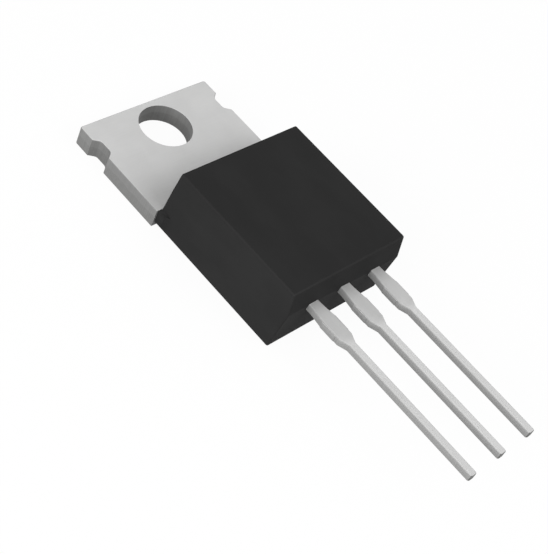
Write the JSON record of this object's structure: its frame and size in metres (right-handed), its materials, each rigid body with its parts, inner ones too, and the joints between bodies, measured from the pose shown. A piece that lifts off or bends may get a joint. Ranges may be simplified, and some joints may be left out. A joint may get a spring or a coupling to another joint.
{
  "type": "negative voltage regulator",
  "caption": "Negative voltage regulator in a black moulded power package with a bare metal mounting tab, a screw hole and straight in-line leads.",
  "frame": {"origin": "axis of the mounting hole at the tab's back face", "axes": "+Z out of the front of the package, along the mounting hole; +Y towards the tab's end, so the leads run towards -Y; +X to the right seen from the front with the leads down"},
  "size_m": [0.0098, 0.0295, 0.0045],
  "materials": {
    "tinned_tab": "matte tin plate over stamped copper",
    "tinned_lead": "matte tin plate over stamped copper",
    "solder": "dull soft solder",
    "silicon": "polished silicon",
    "bond_wire": "drawn wire",
    "moulding_compound": "matte black epoxy, fine eroded mould texture"
  },
  "bodies": {
    "root": {"tab_and_input_lead": "tinned_tab", "ground_lead": "tinned_lead", "output_lead": "tinned_lead", "die_solder": "solder", "regulator_die": "silicon", "ground_wire": "bond_wire", "output_wire": "bond_wire", "input_wire": "bond_wire", "moulded_body": "moulding_compound"}
  },
  "joints": []
}
